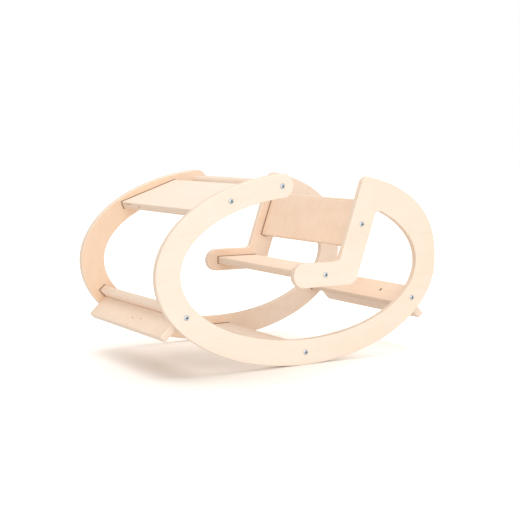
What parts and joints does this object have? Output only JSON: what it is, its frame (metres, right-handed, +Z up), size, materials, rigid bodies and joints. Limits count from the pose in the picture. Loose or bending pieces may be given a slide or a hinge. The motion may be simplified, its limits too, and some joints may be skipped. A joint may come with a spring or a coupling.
{
  "type": "wooden rocker arch",
  "caption": "Plywood rocker for a small child: two oval side panels joined by a seat, backrest, sloping table, round grip bar, foot board and stops that limit the rocking.",
  "frame": {"origin": "on the floor under the middle of the rocker, at the centre of the bottom of its box", "axes": "+Z up, +X to the rear where the backrest is, so that the child faces -X; +Y is the child's right-hand side"},
  "size_m": [0.7798, 0.4456, 0.4516],
  "materials": {
    "birch_plywood": "clear matt lacquer, edges rounded and sanded",
    "beech": "clear matt lacquer",
    "zinc_steel": "bright zinc plating",
    "black_steel": "black phosphate",
    "brass": "plain"
  },
  "bodies": {
    "root": {"side_panel_left": "birch_plywood", "side_panel_right": "birch_plywood", "table_board": "birch_plywood", "grip_bar": "beech", "seat_board": "birch_plywood", "backrest_board": "birch_plywood", "foot_board": "birch_plywood", "front_stop_rail": "birch_plywood", "front_stop_plate": "birch_plywood", "rear_stop_rail": "birch_plywood", "rear_stop_plate": "birch_plywood", "table_bolts": "zinc_steel", "grip_bar_bolts": "zinc_steel", "seat_bolts": "zinc_steel", "backrest_bolts": "zinc_steel", "foot_bolts": "zinc_steel", "front_stop_bolts": "zinc_steel", "rear_stop_bolts": "zinc_steel", "table_barrel_nuts": "zinc_steel", "seat_barrel_nuts": "zinc_steel", "backrest_barrel_nuts": "zinc_steel", "foot_barrel_nuts": "zinc_steel", "front_stop_barrel_nuts": "zinc_steel", "rear_stop_barrel_nuts": "zinc_steel", "grip_bar_sleeves": "brass", "table_dowels": "beech", "seat_dowels": "beech", "backrest_dowels": "beech", "foot_dowels": "beech", "front_stop_dowels": "beech", "rear_stop_dowels": "beech", "front_stop_screws": "black_steel", "rear_stop_screws": "black_steel"}
  },
  "joints": []
}
